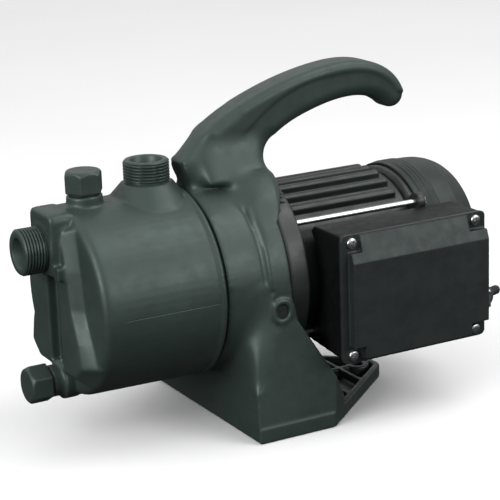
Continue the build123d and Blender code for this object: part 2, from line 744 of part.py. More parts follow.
def toggle_lever():
    lever = along_x(2.0, -6, 15) + Sphere(3.0)
    return toggle_place() * (lever - along_x(5, -20, -6))


def toggle_boot():
    dome = Sphere(boot_radius) - block((-20, -1.5), (-20, 20), (-20, 20))
    sleeve = along_x(3.5, 0, 13.6) + Pos(13.6, 0, 0) * Sphere(3.5)
    return toggle_place() * (dome + sleeve - along_x(2.0, -6, 15) - Sphere(3.0))


def cord_bushing():
    outer = box_rear + 2.5
    sleeve = along_x(6.0, box_rear - 4.5, box_rear, y=cord_y, z=cord_z)
    flange = along_x(8.5, box_rear, outer, y=cord_y, z=cord_z)
    nose = along_x(6.5, outer, outer + 6.5, y=cord_y, z=cord_z)
    return sleeve + flange + nose - along_x(4.2, box_rear - 5, box_rear + 10, y=cord_y, z=cord_z)


# Plugs
def hex_plug():
    """Plug with its head up, its shank below and its zero on the boss face."""
    bottom = oring_gap + oring_height
    hexagon = RegularPolygon(plug_hex / 2, 6, major_radius=False)
    head = Pos(0, 0, bottom) * extrude(hexagon, plug_head_height)
    dome = Pos(0, 0, bottom + plug_head_height / 2 - 1) * Cylinder(14.2, plug_head_height + 2)
    dome = chamfer(dome.edges().sort_by(Axis.Z)[-1], 2.6)
    shank = along_z(plug_shank_radius, -11, bottom)
    return (head & dome) + shank - along_z(5.5, -12, 8)


def plug_oring():
    ring = along_z(11.6, oring_gap, oring_gap + oring_height)
    return ring - along_z(plug_shank_radius, 0, 3)


priming_place = Pos(priming_station, 0, priming_boss_top)
drain_place = Pos(drain_boss_face, 0, drain_height) * Rot(0, -90, 0)

nodes = {
    "pump_casing": pump_casing(),
    "casing_oring": casing_oring(),
    "seal_plate": seal_plate(),
    "jet_nozzle": jet_nozzle(),
    "nozzle_oring": nozzle_oring(),
    "venturi_tube": venturi_tube(),
    "diffuser": diffuser(),
    "impeller": impeller(),
    "impeller_nut": impeller_nut(),
    "seal_seat": seal_seat(),
    "seal_rotating": seal_rotating(),
    "seal_spring": seal_spring(),
    "casing_screws": casing_screws(),
    "motor_bracket": motor_bracket(),
    "bracket_bolts": bracket_bolts(),
    "ring_screws": ring_screws(),
    "motor_front_endbell": motor_front_endbell(),
    "stator_frame": stator_frame(),
    "stator_core": stator_core(),
    "stator_windings": stator_windings(),
    "motor_rear_endbell": motor_rear_endbell(),
    "through_rods": through_rods(),
    "front_inner_race": race(front_bearing, shaft_radius, 10.6, 3.05),
    "front_outer_race": race(front_bearing, 14.4, bearing_radius, 3.05),
    "front_balls": balls(front_bearing),
    "front_cage": cage(front_bearing),
    "rear_inner_race": race(rear_bearing, shaft_radius, 10.6, 3.05),
    "rear_outer_race": race(rear_bearing, 14.4, bearing_radius, 3.05),
    "rear_balls": balls(rear_bearing),
    "rear_cage": cage(rear_bearing),
    "wave_washer": wave_washer(),
    "motor_shaft": motor_shaft(),
    "rotor_core": rotor_core(),
    "slinger": slinger(),
    "cooling_fan": cooling_fan(),
    "fan_clip": fan_clip(),
    "fan_cover": fan_cover(),
    "fan_cover_screws": fan_cover_screws(),
    "terminal_box": terminal_box(),
    "box_gasket": box_gasket(),
    "terminal_box_lid": terminal_box_lid(),
    "lid_screws": lid_screws(),
    "box_screws": box_screws(),
    "run_capacitor": run_capacitor(),
    "capacitor_strap": capacitor_strap(),
    "terminal_block": terminal_block(),
    "terminal_screws": terminal_screws(),
    "switch_body": switch_body(),
    "switch_nut": switch_nut(),
    "toggle_lever": toggle_lever(),
    "toggle_boot": toggle_boot(),
    "cord_bushing": cord_bushing(),
    "priming_plug": priming_place * hex_plug(),
    "priming_plug_oring": priming_place * plug_oring(),
    "drain_plug": drain_place * hex_plug(),
    "drain_plug_oring": drain_place * plug_oring(),
}

os.makedirs("parts", exist_ok=True)
to_floor = Pos(-joint_to_origin, 0, shaft_height)
for name, piece in nodes.items():
    solids = piece if isinstance(piece, list) else piece.solids()
    shape = Compound(children=[to_floor * solid for solid in solids])
    shape.label = name
    export_step(shape, f"parts/{name}.step")
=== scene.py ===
"""Looks of a shallow well jet pump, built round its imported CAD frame.

The casing, the bracket, the plugs and the motor's castings get rounded skins, the ports get real
pipe threads, and every other piece of the frame gets a finish of its own. Lengths are in metres,
+X points along the shaft towards the motor, -Y towards the switch box and +Z up.
"""

import math

import bmesh
import bpy
from mathutils import Matrix, Vector


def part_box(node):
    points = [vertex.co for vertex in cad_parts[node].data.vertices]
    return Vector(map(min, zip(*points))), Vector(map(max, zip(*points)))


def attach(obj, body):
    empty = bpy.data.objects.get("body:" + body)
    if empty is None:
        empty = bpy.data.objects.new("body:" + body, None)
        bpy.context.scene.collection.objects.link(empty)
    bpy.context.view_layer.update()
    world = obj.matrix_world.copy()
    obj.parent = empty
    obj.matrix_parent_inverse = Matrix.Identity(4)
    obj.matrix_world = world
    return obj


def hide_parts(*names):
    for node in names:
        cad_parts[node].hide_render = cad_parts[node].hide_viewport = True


bl_info = {
    "name": "Shallow Well Jet Pump",
    "version": (1, 0, 0),
    "blender": (4, 5, 0),
    "location": "View3D > Sidebar > Pump",
    "description": "Rounded mouldings, pipe threads and finishes for a jet pump",
    "category": "Object",
}

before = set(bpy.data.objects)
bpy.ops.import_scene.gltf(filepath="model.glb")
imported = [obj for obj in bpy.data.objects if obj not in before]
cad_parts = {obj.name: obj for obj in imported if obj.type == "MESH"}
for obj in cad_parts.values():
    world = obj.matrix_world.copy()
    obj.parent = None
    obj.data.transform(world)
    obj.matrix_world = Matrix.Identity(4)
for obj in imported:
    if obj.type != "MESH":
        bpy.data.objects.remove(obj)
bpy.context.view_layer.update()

MM = 0.001
PORT_RADIUS = 16.7 * MM
BORE_SLACK = 0.25 * MM
FULL_TURN = 2 * math.pi


# Places taken from the frame
def node_box(name):
    low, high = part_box(name)
    return Vector(low), Vector(high)


casing_low, casing_high = node_box("pump_casing")
floor_height = node_box("motor_bracket")[0].z
ring_low, ring_high = node_box("casing_oring")
shaft_height = (ring_low.z + ring_high.z) / 2
joint_station = casing_high.x
suction_face = casing_low.x
suction_height = shaft_height + 41.0 * MM
discharge_station = joint_station - 24.0 * MM
discharge_top = casing_high.z


# Settings
class PumpSizes(bpy.types.PropertyGroup):
    moulding_cell: bpy.props.FloatProperty(
        name="Moulding Cell",
        description="Grid size of the skin over the casing and the bracket",
        default=0.0009,
        subtype="DISTANCE",
        unit="LENGTH",
    )
    casting_cell: bpy.props.FloatProperty(
        name="Casting Cell",
        description="Grid size of the skin over the motor's castings",
        default=0.0009,
        subtype="DISTANCE",
        unit="LENGTH",
    )
    small_cell: bpy.props.FloatProperty(
        name="Small Part Cell",
        description="Grid size of the skin over plugs, lid and boot",
        default=0.0005,
        subtype="DISTANCE",
        unit="LENGTH",
    )
    edge_rounds: bpy.props.IntProperty(
        name="Edge Rounds", description="Smoothing passes that round every edge", default=5, min=0
    )
    root_rounds: bpy.props.IntProperty(
        name="Root Rounds",
        description="Smoothing passes where the handle and the foot grow out of the ring",
        default=450,
        min=0,
    )
    front_rounds: bpy.props.IntProperty(
        name="Front Rounds", description="Smoothing passes over the casing's front", default=14, min=0
    )
    thread_pitch: bpy.props.FloatProperty(
        name="Thread Pitch",
        description="Pitch of the ports' pipe thread",
        default=0.00221,
        subtype="DISTANCE",
        unit="LENGTH",
    )
    thread_depth: bpy.props.FloatProperty(
        name="Thread Depth",
        description="Depth of the ports' pipe thread",
        default=0.0013,
        subtype="DISTANCE",
        unit="LENGTH",
    )


class PumpFinishes(bpy.types.PropertyGroup):
    moulding: bpy.props.FloatVectorProperty(
        name="Moulding",
        description="Colour of the casing, the bracket and the plugs",
        default=(0.028, 0.041, 0.036),
        subtype="COLOR",
        size=3,
    )
    cover: bpy.props.FloatVectorProperty(
        name="Fan Cover",
        description="Colour of the fan cover",
        default=(0.009, 0.012, 0.011),
        subtype="COLOR",
        size=3,
    )
    lid: bpy.props.FloatVectorProperty(
        name="Box Lid",
        description="Colour of the switch box's lid",
        default=(0.017, 0.021, 0.021),
        subtype="COLOR",
        size=3,
    )
    # The box's colour is black plastic, made darker than the lid's as painted shade for the box's sides,
    # which lie shaded beside the ring.
    box: bpy.props.FloatVectorProperty(
        name="Switch Box",
        description="Colour of the switch box",
        default=(0.003, 0.003, 0.003),
        subtype="COLOR",
        size=3,
    )
    motor: bpy.props.FloatVectorProperty(
        name="Motor Paint",
        description="Colour of the paint on the motor",
        default=(0.012, 0.017, 0.015),
        subtype="COLOR",
        size=3,
    )


class PumpStage(bpy.types.PropertyGroup):
    yaw: bpy.props.FloatProperty(
        name="Yaw",
        description="Camera's turn about the vertical",
        default=math.radians(-28.638),
        subtype="ANGLE",
        unit="ROTATION",
    )
    pitch: bpy.props.FloatProperty(
        name="Pitch",
        description="Camera's height angle",
        default=math.radians(15.989),
        subtype="ANGLE",
        unit="ROTATION",
    )
    roll: bpy.props.FloatProperty(
        name="Roll",
        description="Camera's tilt in its own plane",
        default=math.radians(-2.039),
        subtype="ANGLE",
        unit="ROTATION",
    )
    distance: bpy.props.FloatProperty(
        name="Distance",
        description="From the camera to its target",
        default=1.3557,
        subtype="DISTANCE",
        unit="LENGTH",
    )
    lens: bpy.props.FloatProperty(name="Lens", description="Focal length in millimetres", default=131.06)
    target: bpy.props.FloatVectorProperty(
        name="Target",
        description="Point that the camera looks at",
        default=(-0.0340, 0.0, 0.1191),
        subtype="TRANSLATION",
        size=3,
    )
    key_power: bpy.props.FloatProperty(
        name="Key Light",
        description="Power of the wide light in front on the right",
        default=12.0,
        subtype="POWER",
        unit="POWER",
    )
    fill_power: bpy.props.FloatProperty(
        name="Fill Light",
        description="Power of the light on the left",
        default=22.0,
        subtype="POWER",
        unit="POWER",
    )
    top_power: bpy.props.FloatProperty(
        name="Top Light",
        description="Power of the light overhead",
        default=9.0,
        subtype="POWER",
        unit="POWER",
    )
    world_level: bpy.props.FloatProperty(
        name="Surroundings", description="Brightness of the surroundings", default=0.85
    )


# Finishes
class Finish:
    """A principled material whose colour, roughness and relief come from noise in the part's own space."""

    def __init__(self, name, roughness, metallic=0.0, specular=0.5):
        self.material = bpy.data.materials.new(name)
        self.material.use_nodes = True
        self.tree = self.material.node_tree
        self.shader = self.tree.nodes["Principled BSDF"]
        self.shader.inputs["Roughness"].default_value = roughness
        self.shader.inputs["Metallic"].default_value = metallic
        self.shader.inputs["Specular IOR Level"].default_value = specular
        self.place = self.add("ShaderNodeTexCoord").outputs["Object"]

    def add(self, kind, **settings):
        node = self.tree.nodes.new(kind)
        for key, value in settings.items():
            setattr(node, key, value)
        return node

    def link(self, source, target):
        self.tree.links.new(source, target)

    def noise(self, scale, detail=3.0, stretch=(1, 1, 1)):
        mapping = self.add("ShaderNodeMapping")
        mapping.inputs["Scale"].default_value = stretch
        self.link(self.place, mapping.inputs["Vector"])
        noise = self.add("ShaderNodeTexNoise")
        noise.inputs["Scale"].default_value = scale
        noise.inputs["Detail"].default_value = detail
        self.link(mapping.outputs["Vector"], noise.inputs["Vector"])
        return noise.outputs["Fac"]

    def spread(self, source, low, high, start=0.3, end=0.7):
        """The source's middle range stretched to run from low to high."""
        node = self.add("ShaderNodeMapRange")
        for key, value in (("From Min", start), ("From Max", end), ("To Min", low), ("To Max", high)):
            node.inputs[key].default_value = value
        self.link(source, node.inputs["Value"])
        return node.outputs["Result"]

    def colours(self, source, first, second):
        mix = self.add("ShaderNodeMix", data_type="RGBA")
        self.link(source, mix.inputs["Factor"])
        for socket, colour in ((6, first), (7, second)):
            if isinstance(colour, bpy.types.NodeSocket):
                self.link(colour, mix.inputs[socket])
            else:
                mix.inputs[socket].default_value = (*colour, 1.0)
        return mix.outputs[2]

    def base(self, source):
        self.link(source, self.shader.inputs["Base Color"])

    def rough(self, source, low, high):
        self.link(self.spread(source, low, high), self.shader.inputs["Roughness"])

    def relief(self, *layers):
        """Bump from (source, strength, depth) layers, coarse ones first."""
        normal = None
        for source, strength, depth in layers:
            bump = self.add("ShaderNodeBump")
            bump.inputs["Strength"].default_value = strength
            bump.inputs["Distance"].default_value = depth
            self.link(source, bump.inputs["Height"])
            if normal is not None:
                self.link(normal, bump.inputs["Normal"])
            normal = bump.outputs["Normal"]
        self.link(normal, self.shader.inputs["Normal"])


def scaled(colour, factor):
    return tuple(channel * factor for channel in colour)


def moulded_plastic(name, colour, roughness=0.42, specular=0.5):
    """Glass-filled plastic: fine spark grain, faint flow clouds and edges rubbed lighter."""
    finish = Finish(name, roughness, specular=specular)
    finish.shader.inputs["Specular Tint"].default_value = (0.84, 1.0, 0.94, 1.0)
    clouds = finish.spread(finish.noise(22.0, 4.0, (1, 1, 1.8)), 0.0, 1.0)
    body = finish.colours(clouds, scaled(colour, 0.88), scaled(colour, 1.12))
    specks = finish.spread(finish.noise(2600.0, 1.0), 0.0, 0.22, 0.62, 0.75)
    body = finish.colours(specks, body, scaled(colour, 1.9))
    edges = finish.add("ShaderNodeNewGeometry").outputs["Pointiness"]
    body = finish.colours(finish.spread(edges, 0.0, 0.55, 0.53, 0.60), body, scaled(colour, 1.6))
    finish.base(body)
    finish.rough(finish.noise(130.0, 5.0), roughness - 0.06, roughness + 0.07)
    finish.relief((finish.noise(60.0, 2.0), 0.10, 0.0006), (finish.noise(1100.0, 2.0), 0.22, 0.00025))
    return finish.material


def cast_paint(name, colour):
    """Satin paint over a pressure casting, with the casting's fine orange peel."""
    finish = Finish(name, 0.42, specular=0.45)
    clouds = finish.spread(finish.noise(40.0, 4.0), 0.0, 1.0)
    finish.base(finish.colours(clouds, scaled(colour, 0.82), scaled(colour, 1.2)))
    finish.rough(finish.noise(90.0, 4.0), 0.34, 0.52)
    finish.relief((finish.noise(240.0, 3.0), 0.30, 0.0004), (finish.noise(1500.0, 2.0), 0.15, 0.00015))
    finish.shader.inputs["Coat Weight"].default_value = 0.15
    finish.shader.inputs["Coat Roughness"].default_value = 0.3
    return finish.material


def bare_metal(name, colour, roughness, stretch=(1, 1, 1), scale=700.0):
    """Metal with drawn or turned marks that run along the axes in which stretch is small."""
    finish = Finish(name, roughness, metallic=1.0)
    marks = finish.noise(scale, 3.0, stretch)
    stains = finish.spread(finish.noise(55.0, 4.0), 0.0, 1.0)
    finish.base(finish.colours(stains, scaled(colour, 0.8), colour))
    finish.rough(marks, roughness * 0.75, roughness * 1.3)
    finish.relief((marks, 0.18, 0.0001))
    return finish.material


def soft_rubber(name, colour):
    finish = Finish(name, 0.62, specular=0.35)
    bloom = finish.spread(finish.noise(70.0, 4.0), 0.0, 1.0)
    finish.base(finish.colours(bloom, colour, scaled(colour, 1.5)))
    finish.rough(finish.noise(160.0, 3.0), 0.52, 0.72)
    finish.relief((finish.noise(1800.0, 2.0), 0.25, 0.0002))
    finish.shader.inputs["Sheen Weight"].default_value = 0.1
    return finish.material


def enamelled_wire(name):
    """Wound copper: fine parallel turns under varnish, coloured with painted shade between the turns and
    painted highlights on their crests.
    """
    finish = Finish(name, 0.3, metallic=0.9)
    turns = finish.noise(900.0, 1.0, (0.15, 1, 1))
    # The turns' two colours are painted light: painted shade in the gaps between turns and painted
    # highlights on their crests.
    shaded_gaps_between_turns, highlit_crests = (0.16, 0.035, 0.010), (0.60, 0.20, 0.06)
    finish.base(finish.colours(finish.spread(turns, 0.0, 1.0), shaded_gaps_between_turns, highlit_crests))
    finish.rough(finish.noise(200.0), 0.22, 0.42)
    finish.relief((turns, 0.6, 0.0004))
    return finish.material


def stacked_sheet(name):
    """Lamination edges: thin bands across the shaft."""
    finish = Finish(name, 0.45, metallic=0.8)
    bands = finish.noise(1100.0, 1.0, (1, 0.02, 0.02))
    varnish, steel = (0.06, 0.06, 0.065), (0.20, 0.20, 0.21)
    finish.base(finish.colours(finish.spread(bands, 0.0, 1.0), varnish, steel))
    finish.rough(finish.noise(150.0), 0.35, 0.55)
    finish.relief((bands, 0.4, 0.0002))
    return finish.material


def glazed_ceramic(name):
    finish = Finish(name, 0.18, specular=0.6)
    clouds = finish.spread(finish.noise(80.0), 0.0, 1.0)
    finish.base(finish.colours(clouds, (0.66, 0.65, 0.60), (0.78, 0.77, 0.73)))
    finish.rough(finish.noise(120.0), 0.12, 0.25)
    finish.relief((finish.noise(500.0), 0.05, 0.0001))
    return finish.material


def lapped_carbon(name):
    finish = Finish(name, 0.35, specular=0.5)
    specks = finish.spread(finish.noise(900.0, 2.0), 0.0, 1.0)
    finish.base(finish.colours(specks, (0.008, 0.008, 0.009), (0.03, 0.03, 0.032)))
    finish.rough(finish.noise(300.0), 0.25, 0.45)
    finish.relief((finish.noise(1200.0), 0.1, 0.0001))
    return finish.material


def make_finishes():
    """One material for each slot of the record."""
    colours = bpy.context.scene.pump_finishes
    return {
        "moulding": moulded_plastic("Green-grey moulding", colours.moulding),
        # Near-black: black plastic, darkened further as painted shade for the switch box's sides beside the
        # ring.
        "black_plastic": moulded_plastic("Black box plastic", colours.box, 0.5, 0.25),
        "cover_plastic": moulded_plastic("Fan cover plastic", colours.cover, 0.42, 0.45),
        "lid_plastic": moulded_plastic("Box lid plastic", colours.lid, 0.45, 0.4),
        "motor_paint": cast_paint("Motor paint", colours.motor),
        "zinc_steel": bare_metal("Zinc plated steel", (0.66, 0.68, 0.69), 0.28, (0.1, 1, 1)),
        "shaft_steel": bare_metal("Ground shaft steel", (0.55, 0.55, 0.56), 0.22, (1, 0.1, 0.1)),
        "lamination": stacked_sheet("Varnished laminations"),
        "copper": enamelled_wire("Enamelled copper wire"),
        "brass": bare_metal("Machined brass", (0.70, 0.47, 0.18), 0.25, (1, 0.1, 0.1)),
        "rubber": soft_rubber("Black rubber", (0.012, 0.014, 0.014)),
        "ceramic": glazed_ceramic("Seal ceramic"),
        "carbon": lapped_carbon("Seal carbon"),
        "can_aluminium": bare_metal("Drawn aluminium can", (0.72, 0.72, 0.73), 0.35, (0.1, 1, 1)),
    }


SLOT_OF_NODE = {
    "casing_oring": "rubber",
    "seal_plate": "moulding",
    "jet_nozzle": "moulding",
    "nozzle_oring": "rubber",
    "venturi_tube": "moulding",
    "diffuser": "cover_plastic",
    "impeller": "cover_plastic",
    "impeller_nut": "brass",
    "seal_seat": "ceramic",
    "seal_rotating": "carbon",
    "seal_spring": "zinc_steel",
    "casing_screws": "zinc_steel",
    "bracket_bolts": "zinc_steel",
    # Dark motor paint instead of zinc on the ring screws: painted shade for the recess of their boss.
    "ring_screws": "motor_paint",
    "stator_core": "lamination",
    "stator_windings": "copper",
    "through_rods": "zinc_steel",
    "front_inner_race": "shaft_steel",
    "front_outer_race": "shaft_steel",
    "front_balls": "shaft_steel",
    "front_cage": "zinc_steel",
    "rear_inner_race": "shaft_steel",
    "rear_outer_race": "shaft_steel",
    "rear_balls": "shaft_steel",
    "rear_cage": "zinc_steel",
    "wave_washer": "zinc_steel",
    "motor_shaft": "shaft_steel",
    "rotor_core": "lamination",
    "slinger": "rubber",
    "cooling_fan": "black_plastic",
    "fan_clip": "zinc_steel",
    "fan_cover_screws": "zinc_steel",
    "box_gasket": "rubber",
    "box_screws": "zinc_steel",
    "run_capacitor": "can_aluminium",
    "capacitor_strap": "zinc_steel",
    "terminal_block": "black_plastic",
    "terminal_screws": "brass",
    "switch_body": "black_plastic",
    "switch_nut": "zinc_steel",
    "toggle_lever": "zinc_steel",
    "priming_plug_oring": "rubber",
    "drain_plug_oring": "rubber",
}


# Mesh work
def add_piece(name, mesh):
    piece = bpy.data.objects.new(name, mesh)
    bpy.context.scene.collection.objects.link(piece)
    return piece


def settle(piece):
    """Turns the piece's modifiers into its mesh."""
    graph = bpy.context.evaluated_depsgraph_get()
    final = bpy.data.meshes.new_from_object(piece.evaluated_get(graph))
    final.name = piece.name
    piece.modifiers.clear()
    piece.data = final


def node_copy(name, piece_name, reshape=None):
    """A copy of a CAD node as one welded mesh, with its vertices moved by reshape."""
    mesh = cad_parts[name].data.copy()
    mesh.materials.clear()
    form = bmesh.new()
    form.from_mesh(mesh)
    bmesh.ops.remove_doubles(form, verts=form.verts, dist=1e-6)
    if reshape is not None:
        for vertex in form.verts:
            vertex.co = reshape(vertex.co.copy())
    form.to_mesh(mesh)
    form.free()
    return add_piece(piece_name, mesh)


def round_over(piece, cell, rounds, soft=None, soft_rounds=0):
    """Gives the piece one even skin and rounds its edges, more strongly where soft is above 0."""
    skin = piece.modifiers.new("Skin", "REMESH")
    skin.mode = "VOXEL"
    skin.voxel_size = cell
    settle(piece)
    if soft is not None:
        group = piece.vertex_groups.new(name="Soft")
        for vertex in piece.data.vertices:
            weight = soft(vertex.co)
            if weight > 0:
                group.add([vertex.index], weight, "REPLACE")
        blend = piece.modifiers.new("Blend", "SMOOTH")
        blend.factor = 0.5
        blend.iterations = soft_rounds
        blend.vertex_group = group.name
    edges = piece.modifiers.new("Edges", "SMOOTH")
    edges.factor = 0.5
    edges.iterations = rounds
    settle(piece)
    piece.vertex_groups.clear()
    piece.data.shade_smooth()


def closed_rows(name, rows, join_ends=True):
    """Rings, each joined to the next; the last is joined to the first, or both ends are capped."""
    form = bmesh.new()
    rings = [[form.verts.new(point) for point in row] for row in rows]
    pairs = list(zip(rings, rings[1:]))
    if join_ends:
        pairs.append((rings[-1], rings[0]))
    for near, far in pairs:
        for k in range(len(near)):
            other = (k + 1) % len(near)
            form.faces.new((near[k], near[other], far[other], far[k]))
    if not join_ends:
        form.faces.new(list(reversed(rings[0])))
        form.faces.new(rings[-1])
    bmesh.ops.recalc_face_normals(form, faces=form.faces)
    mesh = bpy.data.meshes.new(name)
    form.to_mesh(mesh)
    form.free()
    return add_piece(name, mesh)


def lathe(name, profile, turn, steps=64):
    """Solid of revolution about +Z from (height, radius) points, placed by the matrix turn."""
    rows = []
    for height, radius in profile:
        row = []
        for k in range(steps):
            angle = FULL_TURN * k / steps
            row.append(turn @ Vector((radius * math.cos(angle), radius * math.sin(angle), height)))
        rows.append(row)
    piece = closed_rows(name, rows, join_ends=False)
    piece.data.shade_smooth()
    return piece


def hand_over(piece, body, slot, *nodes):
    """Finishes a piece: its material, the body that carries it and the CAD nodes it stands for."""
    piece.data.materials.clear()
    piece.data.materials.append(finishes[slot])
    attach(piece, body)
    if nodes:
        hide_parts(*nodes)
    return piece


def ramp(value, start, end):
    """0 before start, 1 after end, and a smooth rise between them."""
    share = min(1.0, max(0.0, (value - start) / (end - start)))
    return share * share * (3 - 2 * share)


def window(value, low, high, fade):
    return ramp(value, low - fade, low) * (1 - ramp(value, high, high + fade))


finishes = {}


# Casing
port_slack = 0.3 * MM
mouth_set_back = 1.5 * MM
suction_neck_length = 17.2 * MM
discharge_neck_length = 16.1 * MM
suction_core_radius = 14.1 * MM
discharge_core_radius = 14.5 * MM
suction_bore_radius = 10.6 * MM
discharge_bore_radius = 11.9 * MM


def slim_ports(point):
    """Draws both ports in, so that the threaded sleeves cover them."""
    across = Vector((0, point.y, point.z - suction_height))
    on_neck = point.x < suction_face + suction_neck_length + 0.1 * MM
    if on_neck and PORT_RADIUS - port_slack < across.length < PORT_RADIUS + port_slack:
        point -= across * (1 - suction_core_radius / across.length)
    if point.x < suction_face + 0.2 * MM:
        point.x += mouth_set_back
    across = Vector((point.x - discharge_station, point.y, 0))
    on_neck = point.z > discharge_top - discharge_neck_length - 0.1 * MM
    if on_neck and abs(across.length - PORT_RADIUS) < port_slack:
        point -= across * (1 - discharge_core_radius / across.length)
    if point.z > discharge_top - 0.2 * MM:
        point.z -= mouth_set_back
    return point


def thread_sleeve(name, bore, length, place):
    """A port's outside: a helical pipe thread with a chamfered start, and the bore inside it."""
    sizes = bpy.context.scene.pump_sizes
    steps = 120
    cuts = 10
    root = PORT_RADIUS - sizes.thread_depth
    rows = []
    count = round(length / sizes.thread_pitch * cuts)
    for row in range(count + 1):
        along = length * row / count
        ring = []
        for k in range(steps):
            turn = k / steps
            phase = (along / sizes.thread_pitch - turn) % 1.0
            crest = max(0.0, min(1.0, 1.6 - 3.4 * abs(phase - 0.5)))
            crest *= 1 - ramp(along, length - 2.4 * MM, length - 0.6 * MM)
            radius = root + sizes.thread_depth * crest
            radius = min(radius, root - 0.2 * MM + along * 1.1)
            angle = FULL_TURN * turn
            ring.append(place @ Vector((radius * math.cos(angle), radius * math.sin(angle), -along)))
        rows.append(ring)
    rim = 0.5 * MM
    for radius, along in ((bore, length), (bore, rim), (bore + rim, 0.0)):
        ring = []
        for k in range(steps):
            angle = FULL_TURN * k / steps
            ring.append(place @ Vector((radius * math.cos(angle), radius * math.sin(angle), -along)))
        rows.append(ring)
    sleeve = closed_rows(name, rows)
    sleeve.data.shade_smooth()
    sleeve.data.set_sharp_from_angle(angle=math.radians(50))
    return sleeve


def casing_blends(point):
    """The front's castings, whose edges are rounder than the barrel's."""
    x = (point.x - joint_station) / MM
    behind_port = point.x > suction_face + 19 * MM
    return 1 - ramp(x, -80, -74) if behind_port else 0.0


def cut_parting_lines(piece):
    """Cuts the fine line that the mould's two halves leave along each side of the barrel."""
    half_width = 0.4 * MM
    depth = 0.55 * MM
    least_reach = 67 * MM
    form = bmesh.new()
    form.from_mesh(piece.data)
    for offset in (-half_width, 0, half_width):
        everything = form.verts[:] + form.edges[:] + form.faces[:]
        place = (0, 0, shaft_height + offset)
        bmesh.ops.bisect_plane(form, geom=everything, dist=1e-6, plane_co=place, plane_no=(0, 0, 1))
    front, rear = joint_station - 77 * MM, joint_station - 5 * MM
    for vertex in form.verts:
        on_line = abs(vertex.co.z - shaft_height) < 0.01 * MM and front < vertex.co.x < rear
        if on_line and abs(vertex.co.y) > least_reach:
            vertex.co.y -= math.copysign(depth, vertex.co.y)
    form.to_mesh(piece.data)
    form.free()


class PUMP_OT_casing(bpy.types.Operator):
    """Casing moulding with its two threaded ports"""

    bl_idname = "pump.casing"
    bl_label = "Casing"

    def execute(self, context):
        sizes = context.scene.pump_sizes
        casing = node_copy("pump_casing", "casing_moulding", slim_ports)
        round_over(casing, sizes.moulding_cell, sizes.edge_rounds, casing_blends, sizes.front_rounds)
        cut_parting_lines(casing)
        hand_over(casing, "pump", "moulding", "pump_casing")
        mouth = Matrix.Translation((suction_face, 0, suction_height)) @ Matrix.Rotation(-math.pi / 2, 4, "Y")
        bore = suction_bore_radius - BORE_SLACK
        hand_over(thread_sleeve("suction_thread", bore, suction_neck_length, mouth), "pump", "moulding")
        mouth = Matrix.Translation((discharge_station, 0, discharge_top))
        bore = discharge_bore_radius - BORE_SLACK
        hand_over(thread_sleeve("discharge_thread", bore, discharge_neck_length, mouth), "pump", "moulding")
        return {"FINISHED"}


# Bracket, in millimetres and degrees, with stations behind the joint and heights over the shaft
neck_radius = 69.5
ring_radius = 75.0
ring_start = 31.0
ring_end = 50.0
foot_front = 16.5
foot_crisp_height = -64.0
hollow_top = -22.0
corner_radius = 34.0
taper_start = 8.0
taper_length = 42.0


def column_side(height):
    """Half the foot column's width: it widens from the shaft down to a waist, then on to the floor."""
    waist_height, waist_half_width = -30, 77
    if height > waist_height:
        return ring_radius - height / 15
    return waist_half_width - (height - waist_height) / 15.4


def from_shaft(point):
    """Station behind the joint, distance to the side and height over the shaft, in millimetres."""
    return (point.x - joint_station) / MM, abs(point.y) / MM, (point.z - shaft_height) / MM


def taper_collar(point):
    """Lets the collar over the ring run out along the ring's sides."""
    x, y, z = from_shaft(point)
    radius = math.hypot(y, z)
    side = math.degrees(math.atan2(y, z))
    if x < 28 or z < 20 or radius < ring_radius + 0.2:
        return
    left = 1 - (min(max(side - taper_start, 0), taper_length) / taper_length) ** 2
    if x > ring_end:
        point.x = joint_station + (ring_end + (x - ring_end) * left) * MM
    share = (ring_radius + (radius - ring_radius) * left) / radius
    if side > taper_start:
        point.y *= share
        point.z = shaft_height + (point.z - shaft_height) * share


def round_front_corner(point):
    """Rounds the foot's upright front corners, widely at the top and not at all near the floor."""
    x, y, z = from_shaft(point)
    if z > 4 or z < foot_crisp_height or math.hypot(y, z) < neck_radius + 0.6:
        return
    radius = corner_radius * ramp(z, foot_crisp_height, -4)
    side = column_side(z)
    inward = x - foot_front
    across = side - y
    depth = min(inward, across)
    reach = radius - depth
    if depth < -0.2 or reach <= 0 or max(inward, across) >= radius:
        return
    along = (max(inward, across) - depth) / reach
    turn = math.radians(45 * (1 - along))
    near = radius - reach * math.cos(turn)
    far = radius - reach * math.sin(turn)
    if inward <= across:
        inward, across = near, far
    else:
        inward, across = far, near
    x = foot_front + inward
    y = side - across
    if z > hollow_top or depth < 1.5:
        barrel = neck_radius + (ring_radius - neck_radius) * min(max((x - ring_start) / 3, 0), 1)
        y = max(y, math.sqrt(barrel * barrel - z * z))
    point.x = joint_station + x * MM
    point.y = math.copysign(y * MM, point.y)


def bracket_blends(point):
    """Where the handle's root and the foot flow into the ring."""
    x, y, z = from_shaft(point)
    front_root = window(x, 6, 46, 5) * window(z, 62, 100, 8) * window(y, 0, 42, 6)
    rear_root = window(x, 40, 74, 4) * window(z, 78, 100, 6) * window(y, 0, 20, 5)
    side = math.degrees(math.atan2(y, z))
    collar = window(x, 27, 47, 2) * window(side, 8, 58, 6) * ramp(math.hypot(y, z), 71, 74)
    shoulder = window(x, 6, 31, 4) * window(z, -62, 2, 8) * ramp(math.hypot(y, z), 67, 69)
    return max(front_root, rear_root, collar * 0.25, shoulder)


class PUMP_OT_bracket(bpy.types.Operator):
    """Bracket moulding: neck, ring, carrying handle and foot"""

    bl_idname = "pump.bracket"
    bl_label = "Bracket"

    def execute(self, context):
        sizes = context.scene.pump_sizes
        bracket = node_copy("motor_bracket", "bracket_moulding")
        round_over(bracket, sizes.moulding_cell, 1)
        for vertex in bracket.data.vertices:
            taper_collar(vertex.co)
            round_front_corner(vertex.co)
        round_over(bracket, sizes.moulding_cell, sizes.edge_rounds, bracket_blends, sizes.root_rounds)
        hand_over(bracket, "pump", "moulding", "motor_bracket")
        return {"FINISHED"}


